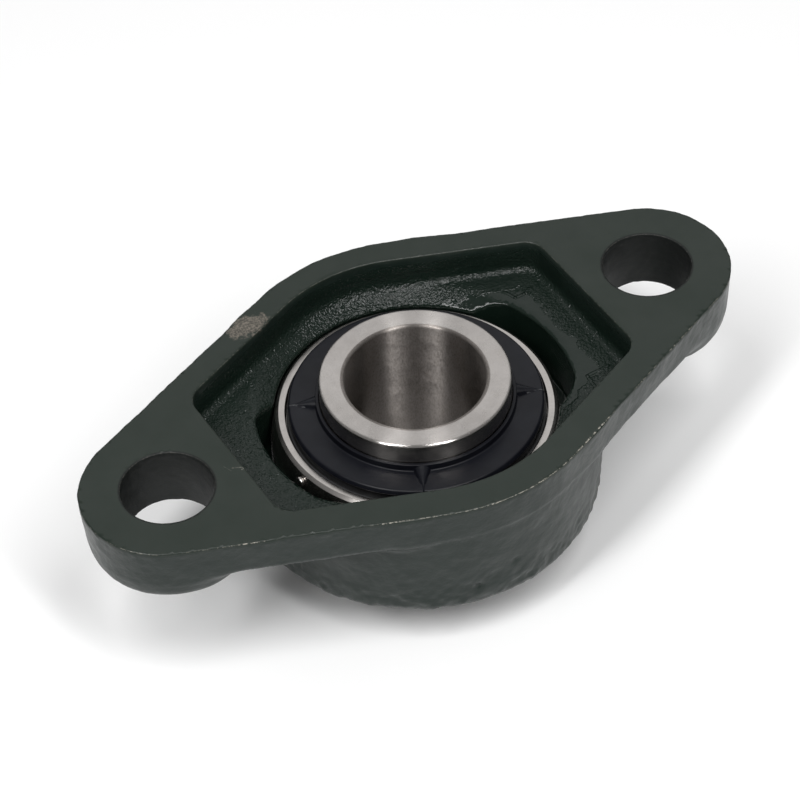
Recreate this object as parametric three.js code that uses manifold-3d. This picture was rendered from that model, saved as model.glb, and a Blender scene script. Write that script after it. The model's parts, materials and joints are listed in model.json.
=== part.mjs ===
// Two-bolt flange bearing unit for a 25 mm shaft, with a self-aligning ball bearing insert.
// Units are millimetres. +Z is the shaft axis, towards the mounting face.
// The origin is on the shaft axis, in the plane of the inner ring's long end, on which the unit stands.
import * as THREE from 'three';
import { mergeVertices } from 'three/addons/utils/BufferGeometryUtils.js';
import Module from 'manifold-3d';

const wasm = await Module();
wasm.setup();

const { sin, cos, sqrt, asin, acos, PI } = Math;
const TURN = 2 * PI;
const deg = PI / 180;

// ---- driving dimensions: the unit -------------------------------------------------------------------
const FACE = 35.1;                  // mounting face above the inner ring's long end
const MIDDLE = FACE - 15.9;         // centre of the spherical seat
const BOLT_X = 49.5;                // half the bolt spacing of 99
const BOLT_HOLE_R = 8;              // for M14 bolts
const TIP_R = 15.23;                // rounded ends of the flange, overall length 129.5
const HUB_R = 34;                   // flange width 68
const WEB_DEPTH = 7.8;              // flange thickness between the hub and the pads
const PAD_DEPTH = 12;               // flange thickness at the bolts
const HUB_DEPTH = 27;               // mounting face to the hub's front face
const DRAFT = 3 * deg;              // taper of the cast sides

// ---- driving dimensions: recess in the mounting face, loading slots and seat --------------------------
const RECESS_X = 36.2;              // end walls
const RECESS_R = 28.55;             // round part of the side walls
const RECESS_CORNER = 2.5;
const RECESS_DEPTH = 6.3;
const CORE_SHIFT = 0.55;            // the recess lies this far towards +Y
const SLOT_R = 28.6;
const SLOT_DEPTH = 17;
const SEAT_R = 26.3;
const LIP_DEPTH = 8.6;              // edge of the seat's lip below the mounting face
const FRONT_BORE_R = 25.6;

// ---- driving dimensions: bearing insert ---------------------------------------------------------------
const OUTER_R = 26;                 // spherical outside of the outer ring
const OUTER_HALF = 7.5;
const COUNTERBORE_R = 23.25;
const COUNTERBORE_DEPTH = 1.9;
const OUTER_LAND_R = 22;            // shoulders beside the outer raceway
const INNER_R = 17;
const BORE_R = 12.5;                // 25 mm shaft
const INNER_BACK = 14.9;            // from the seat's centre to the inner ring's short end
const PITCH_R = 19.5;
const BALL_COUNT = 9;
const BALL_R = 3.969;               // 5/16 in balls
const GROOVE_R = 4.15;
const BALL_PLAY = 0.15;             // radial gap between the balls and each raceway
const SCREW_HEIGHT = 5;             // set screws from the inner ring's long end
const SCREW_ANGLES = [30 * deg, 150 * deg];
const SCREW_R = 2.75;
const SCREW_LENGTH = 5;
const SCREW_TIP_R = 12.9;           // the screws' tips stop short of the shaft
const PIN_ANGLE = 186 * deg;        // stopper pin, round the shaft axis
const PIN_TILT = 11.9 * deg;        // and up from the seat's middle plane
const PIN_R = 0.95;

// ---- driving dimensions: grease nipple at the hub's front edge ---------------------------------------
const NIPPLE_SEAT = new THREE.Vector3(0, 29.4, FACE - 23.7);
const NIPPLE_TILT = 135 * deg;      // from +Z, so it points outwards and to the front
const NIPPLE_SPOT_R = 4.6;
const NIPPLE_SHANK_R = 2.4;
const NIPPLE_SHANK = 2.9;           // screwed into the hub
const NIPPLE_HEIGHT = 7;            // standing out of its spot face
const NIPPLE_BORE_R = 1.25;

const SEAT_CENTRE = new THREE.Vector3(0, 0, MIDDLE);

const ROUND = 40;                   // facets round the large rings
const COARSE = 30;                  // facets round thin rings and the flange's round features
const SMALL = 12;                   // facets round small pieces
const SPHERE_STEPS = 6;             // facets across the spherical seat and ring
const GROOVE_STEPS = 5;             // facets across each raceway

// ---- materials ----------------------------------------------------------------------------------------
const material = (color, roughness, metalness) =>
  new THREE.MeshStandardMaterial({ color, roughness, metalness });
const CAST_IRON = material(0x3c463f, 0.55, 0.1);
const BEARING_STEEL = material(0xaea59f, 0.3, 0.9);
const SLINGER_STEEL = material(0x23252b, 0.45, 0.4);
const CAGE_STEEL = material(0x9a9690, 0.45, 0.8);
const SEAL_RUBBER = material(0x1c1b1a, 0.8, 0);
const SCREW_STEEL = material(0x2b2b2c, 0.45, 0.7);
const PLATED_STEEL = material(0xb9b08c, 0.35, 0.85);

// ---- geometry helpers ---------------------------------------------------------------------------------
// Merges shared vertices, drops empty triangles and turns the faces outwards.
function tidy(geometry) {
  const source = geometry.clone();
  source.deleteAttribute('normal');
  source.deleteAttribute('uv');
  const merged = mergeVertices(source, 1e-4);
  const index = [...merged.index.array];
  const at = (i) => new THREE.Vector3().fromBufferAttribute(merged.attributes.position, i);
  const faces = [];
  let volume = 0;
  for (let i = 0; i < index.length; i += 3) {
    const [a, b, c] = index.slice(i, i + 3);
    if (a === b || b === c || c === a) continue;
    faces.push([a, b, c]);
    volume += at(a).dot(at(b).cross(at(c)));
  }
  const outward = volume > 0 ? faces : faces.map(([a, b, c]) => [a, c, b]);
  merged.setIndex(outward.flat());
  return merged;
}

function toManifold(geometry) {
  const closed = tidy(geometry);
  return new wasm.Manifold(new wasm.Mesh({
    numProp: 3,
    vertProperties: new Float32Array(closed.attributes.position.array),
    triVerts: new Uint32Array(closed.index.array),
  }));
}

function toGeometry(manifold) {
  const mesh = manifold.getMesh();
  const geometry = new THREE.BufferGeometry();
  geometry.setAttribute('position', new THREE.BufferAttribute(mesh.vertProperties, 3));
  geometry.setIndex([...mesh.triVerts]);
  return geometry;
}

function combine(base, { add = [], cut = [] }) {
  let body = toManifold(base);
  for (const geometry of add) body = body.add(toManifold(geometry));
  for (const geometry of cut) body = body.subtract(toManifold(geometry));
  return toGeometry(body);
}

// A body turned about Z from [radius, height] points; an open profile starts and ends on the axis.
function turned(profile, segments = ROUND) {
  const points = profile.map(([r, z]) => new THREE.Vector2(r, z));
  return tidy(new THREE.LatheGeometry(points, segments).rotateX(PI / 2));
}

const closedLoop = (profile) => [...profile, profile[0]];
const ring = (profile, segments) => turned(closedLoop(profile), segments);

// [radius, height] points on an arc round (centreR, centreZ), from one angle to another.
function arc(centreR, centreZ, radius, from, to, steps) {
  return Array.from({ length: steps + 1 }, (_, i) => {
    const angle = from + ((to - from) * i) / steps;
    return [centreR + radius * cos(angle), centreZ + radius * sin(angle)];
  });
}

// A closed body through level outlines, each a list of [x, y] points with its height.
function loft(levels) {
  const count = levels[0].outline.length;
  const position = levels.flatMap(({ outline, z }) => outline.flatMap(([x, y]) => [x, y, z]));
  const index = [];
  for (let level = 0; level + 1 < levels.length; level += 1) {
    for (let i = 0; i < count; i += 1) {
      const a = level * count + i;
      const b = level * count + ((i + 1) % count);
      index.push(a, b, b + count, a, b + count, a + count);
    }
  }
  for (const [end, flip] of [[0, true], [levels.length - 1, false]]) {
    const start = end * count;
    for (let i = 1; i + 1 < count; i += 1) {
      const pair = flip ? [start + i + 1, start + i] : [start + i, start + i + 1];
      index.push(start, ...pair);
    }
  }
  const geometry = new THREE.BufferGeometry();
  geometry.setAttribute('position', new THREE.Float32BufferAttribute(position, 3));
  geometry.setIndex(index);
  return tidy(geometry);
}

function cylinder(radius, from, to, segments = SMALL) {
  return turned([[0, from], [radius, from], [radius, to], [0, to]], segments);
}

// Moves a body made along +Z so that it starts at a point and follows a direction.
function along(geometry, start, direction) {
  const turn = new THREE.Quaternion().setFromUnitVectors(new THREE.Vector3(0, 0, 1), direction);
  return geometry.clone().applyQuaternion(turn).translate(start.x, start.y, start.z);
}

const outwards = (angle, tilt = 0) =>
  new THREE.Vector3(cos(angle) * cos(tilt), sin(angle) * cos(tilt), sin(tilt));

// ---- housing ------------------------------------------------------------------------------------------
// The side lines of flange and recess run from the hub arc to the tip arc at this angle of their normal.
const SIDE_ANGLE = acos((HUB_R - TIP_R) / BOLT_X);
const TIP_STEPS = 9;
const SIDE_STEPS = 6;
const CORNER_STEPS = 3;

// Four arcs joined by straight sides: two tips on the X axis and two round flanks about the shaft axis.
function flangeOutline(inset) {
  const tip = TIP_R - inset;
  const hub = HUB_R - inset;
  return [
    ...arc(BOLT_X, 0, tip, -SIDE_ANGLE, SIDE_ANGLE, TIP_STEPS),
    ...arc(0, 0, hub, SIDE_ANGLE, PI - SIDE_ANGLE, SIDE_STEPS),
    ...arc(-BOLT_X, 0, tip, PI - SIDE_ANGLE, PI + SIDE_ANGLE, TIP_STEPS),
    ...arc(0, 0, hub, PI + SIDE_ANGLE, TURN - SIDE_ANGLE, SIDE_STEPS),
  ];
}

// The recess follows the flange's sides and is cut off by an end wall towards each bolt hole.
function recessOutline(inset) {
  const corner = RECESS_CORNER;
  const cx = RECESS_X - inset - corner;
  const side = RECESS_R - inset - corner;
  const cy = (side - cos(SIDE_ANGLE) * cx) / sin(SIDE_ANGLE);
  const flank = RECESS_R - inset;
  return [
    ...arc(cx, cy, corner, 0, SIDE_ANGLE, CORNER_STEPS),
    ...arc(0, 0, flank, SIDE_ANGLE, PI - SIDE_ANGLE, SIDE_STEPS),
    ...arc(-cx, cy, corner, PI - SIDE_ANGLE, PI, CORNER_STEPS),
    ...arc(-cx, -cy, corner, PI, PI + SIDE_ANGLE, CORNER_STEPS),
    ...arc(0, 0, flank, PI + SIDE_ANGLE, TURN - SIDE_ANGLE, SIDE_STEPS),
    ...arc(cx, -cy, corner, TURN - SIDE_ANGLE, TURN, CORNER_STEPS),
  ].map(([x, y]) => [x, y + CORE_SHIFT]);
}

const levelsOf = (outline, steps) =>
  steps.map(([depth, inset]) => ({ z: FACE - depth, outline: outline(inset) }));

// The draft moves the cast side inwards by this much at a depth below the mounting face.
const drafted = (depth) => depth * Math.tan(DRAFT);

function flangePlate() {
  const edge = 0.3;
  return loft(levelsOf(flangeOutline, [
    [WEB_DEPTH, 1.8],
    [WEB_DEPTH - 0.4, 0.9],
    [WEB_DEPTH - 1.4, drafted(WEB_DEPTH)],
    [edge, 0],
    [0, edge],
  ]));
}

// A thick round pad under each bolt, trimmed to the flange's drafted outline.
function boltPad(side) {
  const foot = FACE - PAD_DEPTH;
  const web = FACE - WEB_DEPTH;
  const pad = turned([
    [0, foot],
    [12.6, foot],
    [13.9, foot + 0.5],
    [14.7, foot + 1.6],
    [15.3, web - 1.5],
    [16.4, web - 0.5],
    [18.4, web + 0.3],
    [18.4, FACE - 1],
    [0, FACE - 1],
  ], COARSE).translate(side * BOLT_X, 0, 0);
  const trim = loft(levelsOf(flangeOutline, [
    [PAD_DEPTH + 1, 3],
    [PAD_DEPTH, 2.6],
    [PAD_DEPTH - 0.5, 1.4],
    [PAD_DEPTH - 1.6, drafted(PAD_DEPTH - 1.6)],
    [0.5, drafted(0.5)],
  ]));
  return toGeometry(toManifold(pad).intersect(toManifold(trim)));
}

function hub() {
  const front = FACE - HUB_DEPTH;
  const edge = 2.5;
  const sideR = HUB_R - 0.1 - drafted(HUB_DEPTH);
  return turned([
    [0, front],
    [sideR - edge, front],
    ...arc(sideR - edge, front + edge, edge, -60 * deg, 0, 2),
    [HUB_R - 0.1 - drafted(WEB_DEPTH), FACE - WEB_DEPTH + 0.5],
    [HUB_R - 1.5, FACE - 2],
    [0, FACE - 2],
  ]);
}

function recess() {
  return loft(levelsOf(recessOutline, [
    [RECESS_DEPTH, 2.4],
    [RECESS_DEPTH - 0.4, 1.4],
    [RECESS_DEPTH - 1.4, 0.7],
    [0, 0],
    [-1, 0],
  ]));
}

// Entry cone between the lips, spherical seat, and the front bore.
function seatBore() {
  const top = asin((FACE - LIP_DEPTH - MIDDLE) / SEAT_R);
  const bottom = -acos(FRONT_BORE_R / SEAT_R);
  const front = FACE - HUB_DEPTH;
  return turned([
    [0, front - 1],
    [FRONT_BORE_R + 1.8, front - 1],
    [FRONT_BORE_R, front + 0.8],
    ...arc(0, MIDDLE, SEAT_R, bottom, top, SPHERE_STEPS),
    [25.8, FACE - LIP_DEPTH + 0.1],
    [26.4, FACE - LIP_DEPTH + 1.3],
    [27.7, FACE - RECESS_DEPTH + 0.1],
    [27.7, FACE - RECESS_DEPTH + 1],
    [0, FACE - RECESS_DEPTH + 1],
  ]);
}

// Two opposite slots through the seat's back lip, by which the insert is loaded sideways.
function loadingSlot(side) {
  const half = 22 * deg;
  const reach = 14.6;
  const shape = new THREE.Shape();
  shape.moveTo(18, -reach - 0.8);
  shape.lineTo(21, -reach + 0.4);
  shape.lineTo(24.6, -12.6);
  shape.quadraticCurveTo(26.1, -12, SLOT_R * cos(half), -SLOT_R * sin(half));
  shape.absarc(0, 0, SLOT_R, -half, half, false);
  shape.quadraticCurveTo(26.1, 12, 24.6, 12.6);
  shape.lineTo(21, reach - 0.4);
  shape.lineTo(18, reach + 0.8);
  const slot = new THREE.ExtrudeGeometry(shape, {
    depth: SLOT_DEPTH - RECESS_DEPTH + 1,
    bevelEnabled: false,
    curveSegments: 6,
  });
  slot.translate(0, 0, FACE - SLOT_DEPTH);
  if (side < 0) slot.rotateZ(PI);
  return slot;
}

function boltHole(side) {
  const edge = 0.35;
  const foot = FACE - PAD_DEPTH;
  return turned([
    [0, foot - 1],
    [BOLT_HOLE_R + 1 + edge, foot - 1],
    [BOLT_HOLE_R, foot + edge],
    [BOLT_HOLE_R, FACE - edge],
    [BOLT_HOLE_R + 1 + edge, FACE + 1],
    [0, FACE + 1],
  ], COARSE).translate(side * BOLT_X, 0, 0);
}

// The nipple and its hole are made along +Z and turned into place.
const NIPPLE_AXIS = new THREE.Vector3(0, sin(NIPPLE_TILT), cos(NIPPLE_TILT));
const placeNipple = (geometry) => along(geometry, NIPPLE_SEAT, NIPPLE_AXIS);

function housing() {
  const spotFace = placeNipple(cylinder(NIPPLE_SPOT_R, 0, 9, COARSE));
  const nippleHole = placeNipple(cylinder(NIPPLE_SHANK_R + 0.25, -NIPPLE_SHANK - 0.25, 1));
  const greaseWay = placeNipple(cylinder(0.9, -8, 1));
  return combine(flangePlate(), {
    add: [hub(), boltPad(-1), boltPad(1)],
    cut: [
      recess(),
      seatBore(),
      loadingSlot(-1),
      loadingSlot(1),
      boltHole(-1),
      boltHole(1),
      spotFace,
      nippleHole,
      greaseWay,
    ],
  });
}

// ---- grease nipple --------------------------------------------------------------------------------------
function greaseNipple() {
  const gap = 0.25;
  const hexTop = 2.5;
  const hexCornerR = 4.04;
  const headR = 3.1;
  const neckR = 2.2;
  const top = NIPPLE_HEIGHT;
  const turnedBody = turned([
    [0, -NIPPLE_SHANK],
    [NIPPLE_SHANK_R - 0.4, -NIPPLE_SHANK],
    [NIPPLE_SHANK_R, 0.4 - NIPPLE_SHANK],
    [NIPPLE_SHANK_R, hexTop + 0.2],
    [neckR, hexTop + 0.5],
    [neckR, top - 3.4],
    [headR, top - 2.5],
    [headR, top - 2],
    [1.8, top - 0.2],
    [1.5, top],
    [0, top],
  ], 16);
  const hex = turned([
    [0, gap],
    [hexCornerR, gap],
    [hexCornerR, hexTop],
    [0, hexTop],
  ], 6);
  const passage = turned([
    [0, -NIPPLE_SHANK - 1],
    [0.8, -NIPPLE_SHANK - 1],
    [0.8, 0.5 - NIPPLE_SHANK],
    [NIPPLE_BORE_R, 0.5 - NIPPLE_SHANK],
    [NIPPLE_BORE_R, top - 1.5],
    [0.8, top - 0.8],
    [0.8, top + 1],
    [0, top + 1],
  ], SMALL);
  return placeNipple(combine(turnedBody, { add: [hex], cut: [passage] }));
}

const NIPPLE_BALL_R = 1.05;
const NIPPLE_BALL_AT = NIPPLE_HEIGHT - 2.25;

function nippleBall() {
  return placeNipple(new THREE.IcosahedronGeometry(NIPPLE_BALL_R, 2).translate(0, 0, NIPPLE_BALL_AT));
}

class Helix extends THREE.Curve {
  constructor(radius, bottom, top, turns) {
    super();
    Object.assign(this, { radius, bottom, top, turns });
  }

  getPoint(t) {
    const angle = t * this.turns * TURN;
    const z = this.bottom + t * (this.top - this.bottom);
    return new THREE.Vector3(this.radius * cos(angle), this.radius * sin(angle), z);
  }
}

function nippleSpring() {
  const wireR = 0.15;
  const turns = 5;
  const section = new THREE.Shape();
  section.absarc(0, 0, wireR, 0, TURN, false);
  const wire = new THREE.ExtrudeGeometry(section, {
    steps: turns * 8,
    curveSegments: 2,
    extrudePath: new Helix(0.85, 0.8 - NIPPLE_SHANK, NIPPLE_BALL_AT - NIPPLE_BALL_R - 0.2, turns),
  });
  return placeNipple(wire);
}

// ---- bearing rings --------------------------------------------------------------------------------------
// Sphere outside, raceway inside, and a counterbore for seal and slinger at each end.
function outerRing() {
  const chamfer = 0.5;
  const sphereEnd = asin((OUTER_HALF - chamfer) / OUTER_R);
  const floor = OUTER_HALF - COUNTERBORE_DEPTH;
  const grooveCentre = PITCH_R + BALL_R + BALL_PLAY - GROOVE_R;
  const grooveEnd = acos((OUTER_LAND_R - grooveCentre) / GROOVE_R);
  const profile = [
    ...arc(0, 0, OUTER_R, -sphereEnd, sphereEnd, SPHERE_STEPS),
    [24.43, OUTER_HALF],
    [COUNTERBORE_R, OUTER_HALF],
    [COUNTERBORE_R, floor],
    [OUTER_LAND_R, floor],
    ...arc(grooveCentre, 0, GROOVE_R, grooveEnd, -grooveEnd, GROOVE_STEPS),
    [OUTER_LAND_R, -floor],
    [COUNTERBORE_R, -floor],
    [COUNTERBORE_R, -OUTER_HALF],
    [24.43, -OUTER_HALF],
  ].map(([r, z]) => [r, z + MIDDLE]);
  const pinHole = along(cylinder(PIN_R + 0.2, 24.2, 27, 8), SEAT_CENTRE, outwards(PIN_ANGLE, PIN_TILT));
  const greaseHole = along(cylinder(0.8, 20, 27, 8), SEAT_CENTRE, outwards(90 * deg, -PIN_TILT));
  return combine(ring(profile), { cut: [pinHole, greaseHole] });
}

function stopperPin() {
  const pin = turned([
    [0, 24.5],
    [PIN_R, 24.5],
    [PIN_R, 26.15],
    [PIN_R * 0.75, 26.55],
    [0, 26.75],
  ], 8);
  return along(pin, SEAT_CENTRE, outwards(PIN_ANGLE, PIN_TILT));
}

function innerRing() {
  const outerChamfer = 0.7;
  const boreChamfer = 0.57;
  const top = MIDDLE + INNER_BACK;
  const grooveCentre = PITCH_R - BALL_R - BALL_PLAY + GROOVE_R;
  const grooveEnd = acos((grooveCentre - INNER_R) / GROOVE_R);
  const profile = [
    [BORE_R + boreChamfer, 0],
    [INNER_R - outerChamfer, 0],
    [INNER_R, outerChamfer],
    ...arc(grooveCentre, MIDDLE, GROOVE_R, PI + grooveEnd, PI - grooveEnd, GROOVE_STEPS),
    [INNER_R, top - outerChamfer],
    [INNER_R - outerChamfer, top],
    [BORE_R + boreChamfer, top],
    [BORE_R, top - boreChamfer],
    [BORE_R, boreChamfer],
  ];
  const holes = SCREW_ANGLES.map((angle) =>
    along(cylinder(SCREW_R + 0.25, 10, 20), new THREE.Vector3(0, 0, SCREW_HEIGHT), outwards(angle)));
  return combine(ring(profile), { cut: holes });
}

// Headless screw with a hexagon socket and a cup point, made along +Z with its tip at the start.
function setScrew(angle) {
  const body = turned([
    [0, 0.7],
    [1.5, 0],
    [SCREW_R - 0.6, 0],
    [SCREW_R, 0.6],
    [SCREW_R, SCREW_LENGTH - 0.4],
    [SCREW_R - 0.4, SCREW_LENGTH],
    [0, SCREW_LENGTH],
  ], SMALL);
  const socket = cylinder(1.73, SCREW_LENGTH - 2.6, SCREW_LENGTH + 1, 6);
  const start = outwards(angle).multiplyScalar(SCREW_TIP_R).setZ(SCREW_HEIGHT);
  return along(combine(body, { cut: [socket] }), start, outwards(angle));
}

// ---- slingers and seals, made for the back end; the front ones are mirrored about the middle -----------
const SLINGER_IN = INNER_R + 0.15;
const SLINGER_OUT = 22.75;
const SLINGER_DISC = 9.7;           // top of the disc above the seat's centre
const SLINGER_COLLAR = 11;          // end of the collar, clear of the set screws
const SHEET = 0.6;
const RIB_COUNT = 4;
const RIB_ANGLE = 61.5 * deg;

// A stamped rib, a half cone that leans on the collar and runs out to a point on the disc.
function slingerRib(angle) {
  const foot = SLINGER_DISC - 0.3;
  const crest = SLINGER_DISC + 1;
  const half = 1.2;
  const [near, far] = [SLINGER_IN + 0.3, 21.5];
  const position = [near, -half, foot, near, half, foot, near, 0, crest, far, 0, foot];
  const rib = new THREE.BufferGeometry();
  rib.setAttribute('position', new THREE.Float32BufferAttribute(position, 3));
  rib.setIndex([0, 1, 2, 0, 3, 1, 1, 3, 2, 0, 2, 3]);
  return rib.rotateZ(angle);
}

function slingerAboutMiddle() {
  const under = SLINGER_DISC - SHEET;
  const body = ring([
    [SLINGER_IN, SLINGER_COLLAR],
    [SLINGER_IN, under + 0.3],
    [SLINGER_IN + 0.4, under],
    [SLINGER_OUT - 0.8, under - 0.1],
    [SLINGER_OUT - 0.5, under - 0.6],
    [SLINGER_OUT, under - 0.5],
    [SLINGER_OUT - 0.3, SLINGER_DISC - 0.3],
    [SLINGER_OUT - 0.7, SLINGER_DISC - 0.1],
    [SLINGER_IN + SHEET + 0.3, SLINGER_DISC],
    [SLINGER_IN + SHEET, SLINGER_DISC + 0.3],
    [SLINGER_IN + SHEET, SLINGER_COLLAR],
  ], COARSE);
  const ribs = Array.from({ length: RIB_COUNT }, (_, i) => slingerRib(RIB_ANGLE + (i * TURN) / RIB_COUNT));
  return combine(body, { add: ribs });
}

// Rubber-faced insert seated on the counterbore's floor, with a turned-in edge that carries the lip.
const sealInsertAboutMiddle = () => ring([
  [18.6, 6.5],
  [22.6, 5.85],
  [COUNTERBORE_R - 0.2, 5.85],
  [COUNTERBORE_R - 0.2, 6.9],
  [22.7, 6.9],
  [22.4, 6.4],
  [18.6, 7.05],
], COARSE);

const sealLipAboutMiddle = () => ring([
  [INNER_R + 0.15, 5.9],
  [17.6, 5.9],
  [18.45, 6.3],
  [18.45, 7.2],
  [17.7, 7.4],
], COARSE);

function atBack(geometry) {
  return geometry.translate(0, 0, MIDDLE);
}

function atFront(geometry) {
  return tidy(geometry.scale(1, 1, -1)).translate(0, 0, MIDDLE);
}

// ---- cage, rivets and balls -----------------------------------------------------------------------------
const BALL_STEP = TURN / BALL_COUNT;
const POCKET_R = BALL_R + 0.3;
const CAGE_SHEET = 0.6;
const HALF_GAP = 0.12;
const CAGE_IN = 18.4;
const CAGE_OUT = 20.6;

// Heights of the lower and upper surface of one cage half over a pocket, as [length, height] on the pitch.
function pocketLines() {
  const steps = 6;
  const upperR = POCKET_R + CAGE_SHEET;
  const lowerFrom = asin(HALF_GAP / POCKET_R);
  const upperFrom = asin((HALF_GAP + CAGE_SHEET) / upperR);
  const lower = arc(0, 0, POCKET_R, PI - lowerFrom, lowerFrom, steps);
  const upper = arc(0, 0, upperR, PI - upperFrom, upperFrom, steps);
  const edge = (PITCH_R * BALL_STEP) / 2;
  return [
    [[-edge, HALF_GAP], ...lower],
    [[-edge, HALF_GAP + CAGE_SHEET], ...upper],
  ];
}

// One corrugated half ribbon, swept round the pitch circle on the +Z side of the balls.
function cageHalfAboutMiddle() {
  const [lower, upper] = pocketLines();
  const position = [];
  for (let ball = 0; ball < BALL_COUNT; ball += 1) {
    lower.forEach((_, i) => {
      for (const [[length, height], radius] of [
        [lower[i], CAGE_IN],
        [lower[i], CAGE_OUT],
        [upper[i], CAGE_OUT],
        [upper[i], CAGE_IN],
      ]) {
        const angle = ball * BALL_STEP + length / PITCH_R;
        position.push(radius * cos(angle), radius * sin(angle), height);
      }
    });
  }
  const stations = position.length / 12;
  const index = [];
  for (let i = 0; i < stations; i += 1) {
    for (let side = 0; side < 4; side += 1) {
      const a = i * 4 + side;
      const b = i * 4 + ((side + 1) % 4);
      const c = ((i + 1) % stations) * 4 + ((side + 1) % 4);
      const d = ((i + 1) % stations) * 4 + side;
      index.push(a, b, c, a, c, d);
    }
  }
  const ribbon = new THREE.BufferGeometry();
  ribbon.setAttribute('position', new THREE.Float32BufferAttribute(position, 3));
  ribbon.setIndex(index);
  const holes = Array.from({ length: BALL_COUNT }, (_, i) => {
    const place = outwards((i + 0.5) * BALL_STEP).multiplyScalar(PITCH_R);
    return cylinder(0.75, -1, 2, 6).translate(place.x, place.y, 0);
  });
  return combine(tidy(ribbon), { cut: holes });
}

function rivet(i) {
  const head = HALF_GAP + CAGE_SHEET + 0.15;
  const place = outwards((i + 0.5) * BALL_STEP).multiplyScalar(PITCH_R);
  return turned([
    [0, -head - 0.6],
    [0.8, -head - 0.5],
    [1.1, -head],
    [0.5, -head],
    [0.5, head],
    [1.1, head],
    [0.8, head + 0.5],
    [0, head + 0.6],
  ], 6).translate(place.x, place.y, MIDDLE);
}

function ball(i) {
  const place = outwards(i * BALL_STEP).multiplyScalar(PITCH_R);
  return new THREE.IcosahedronGeometry(BALL_R, 2).translate(place.x, place.y, MIDDLE);
}

// ---- assembly -------------------------------------------------------------------------------------------
const unit = new THREE.Group();

function part(name, geometry, finish) {
  const mesh = new THREE.Mesh(tidy(geometry), finish.clone());
  mesh.name = name;
  unit.add(mesh);
}

part('housing', housing(), CAST_IRON);
part('grease_nipple', greaseNipple(), PLATED_STEEL);
part('grease_nipple_ball', nippleBall(), BEARING_STEEL);
part('grease_nipple_spring', nippleSpring(), BEARING_STEEL);
part('stopper_pin', stopperPin(), BEARING_STEEL);
part('outer_ring', outerRing(), BEARING_STEEL);
part('inner_ring', innerRing(), BEARING_STEEL);
SCREW_ANGLES.forEach((angle, i) => part(`set_screw_${i + 1}`, setScrew(angle), SCREW_STEEL));

for (const [end, place] of [['back', atBack], ['front', atFront]]) {
  part(`slinger_${end}`, place(slingerAboutMiddle()), SLINGER_STEEL);
  part(`seal_insert_${end}`, place(sealInsertAboutMiddle()), SEAL_RUBBER);
  part(`seal_lip_${end}`, place(sealLipAboutMiddle()), SEAL_RUBBER);
  part(`cage_${end}`, place(cageHalfAboutMiddle()), CAGE_STEEL);
}

for (let i = 0; i < BALL_COUNT; i += 1) {
  part(`ball_${i + 1}`, ball(i), BEARING_STEEL);
  part(`rivet_${i + 1}`, rivet(i), CAGE_STEEL);
}

export default unit;
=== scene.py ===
import json
import math

import bmesh
import bpy
import numpy as np
from mathutils import Matrix, Vector


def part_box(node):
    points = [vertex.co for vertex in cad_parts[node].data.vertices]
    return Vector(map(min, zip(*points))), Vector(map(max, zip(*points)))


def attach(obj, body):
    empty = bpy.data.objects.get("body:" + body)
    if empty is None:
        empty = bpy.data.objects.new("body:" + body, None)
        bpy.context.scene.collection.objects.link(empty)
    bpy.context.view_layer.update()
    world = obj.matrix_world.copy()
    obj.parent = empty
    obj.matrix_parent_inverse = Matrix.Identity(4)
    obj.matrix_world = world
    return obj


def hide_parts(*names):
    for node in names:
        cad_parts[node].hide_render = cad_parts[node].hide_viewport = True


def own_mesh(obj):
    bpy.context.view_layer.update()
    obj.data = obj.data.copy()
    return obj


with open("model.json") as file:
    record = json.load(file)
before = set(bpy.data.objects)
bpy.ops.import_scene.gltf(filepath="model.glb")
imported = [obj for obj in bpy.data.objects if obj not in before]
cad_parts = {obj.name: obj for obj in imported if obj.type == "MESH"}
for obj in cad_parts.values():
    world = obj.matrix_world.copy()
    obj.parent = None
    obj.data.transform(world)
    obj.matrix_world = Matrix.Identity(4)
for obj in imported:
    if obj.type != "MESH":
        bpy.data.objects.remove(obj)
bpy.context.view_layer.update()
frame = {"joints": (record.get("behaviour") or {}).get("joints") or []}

# ---- the frame's own dimensions, in millimetres ----
MM = 0.001
TURN = 2 * math.pi


def cad_box(node):
    low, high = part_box(node)
    return np.array(low) / MM, np.array(high) / MM


HOUSING_LOW, HOUSING_HIGH = cad_box("housing")
RING_LOW, RING_HIGH = cad_box("outer_ring")
INNER_TOP = cad_box("inner_ring")[1][2]
JOINTS = {joint["name"]: joint for joint in frame["joints"]}

FACE = HOUSING_HIGH[2]                               # mounting face; depths are measured down from it
MIDDLE = JOINTS["inner_spin"]["pos_m"][2] / MM       # centre of the spherical seat
HUB_R = 34.0
TIP_R = 15.23
BOLT_X = HOUSING_HIGH[0] - TIP_R
HUB_DEPTH = FACE - HOUSING_LOW[2]
WEB_DEPTH = 7.8
PAD_R = 14.9
PAD_DEPTH = 12.0
BOLT_HOLE_R = 8.0
DRAFT = math.tan(math.radians(3))

RECESS_X = 36.2
RECESS_R = 28.55
RECESS_DEPTH = 6.3
RECESS_DRAFT = math.tan(math.radians(5))
CORE_SHIFT = 0.55                                    # the recess's core sat a little off the middle
SLOT_R = 28.6
SLOT_DEPTH = 17.0
SLOT_HALF = 22.6                                     # half width of a loading slot on the Y axis
SLOT_TAPER = 0.4
SEAT_R = 26.3
SEAT_TOP_DEPTH = 7.5
ENTRY_R = 25.7                                       # the seat's entry slope narrows to this radius
ENTRY_DEPTH = 7.9
ENTRY_FLARE = 1.9
FRONT_BORE_R = 25.6
FRONT_CHAMFER = 1.6

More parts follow.
